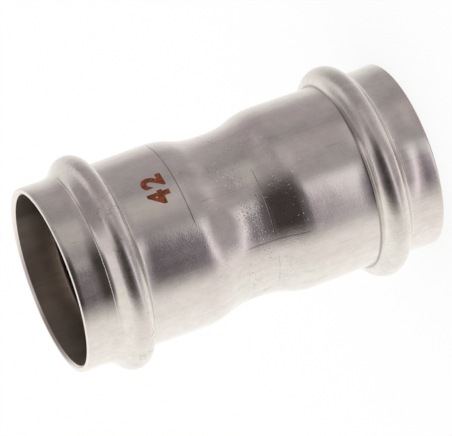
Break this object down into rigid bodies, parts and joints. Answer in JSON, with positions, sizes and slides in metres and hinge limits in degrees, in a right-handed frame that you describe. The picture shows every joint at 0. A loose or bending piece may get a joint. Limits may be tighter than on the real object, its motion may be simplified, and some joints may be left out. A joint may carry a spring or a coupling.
{
  "type": "press fit coupling",
  "caption": "Straight stainless press-fit coupling: two equal pipe sockets, each with a bead that holds a rubber sealing ring, joined by a narrower throat where the pipes stop.",
  "frame": {"origin": "middle of the lower mouth, in the plane of its end face, where the coupling stands", "axes": "+Z along the pipe axis, from the lower mouth to the upper one; X and Y are free, because the coupling is round"},
  "size_m": [0.0528, 0.0528, 0.0919],
  "materials": {
    "steel": "pickled stainless steel, satin, with faint mottling and fine scratches",
    "seal": "black rubber, smooth and dull"
  },
  "bodies": {
    "root": {"coupling_body": "steel", "lower_sealing_ring": "seal", "upper_sealing_ring": "seal"}
  },
  "joints": []
}
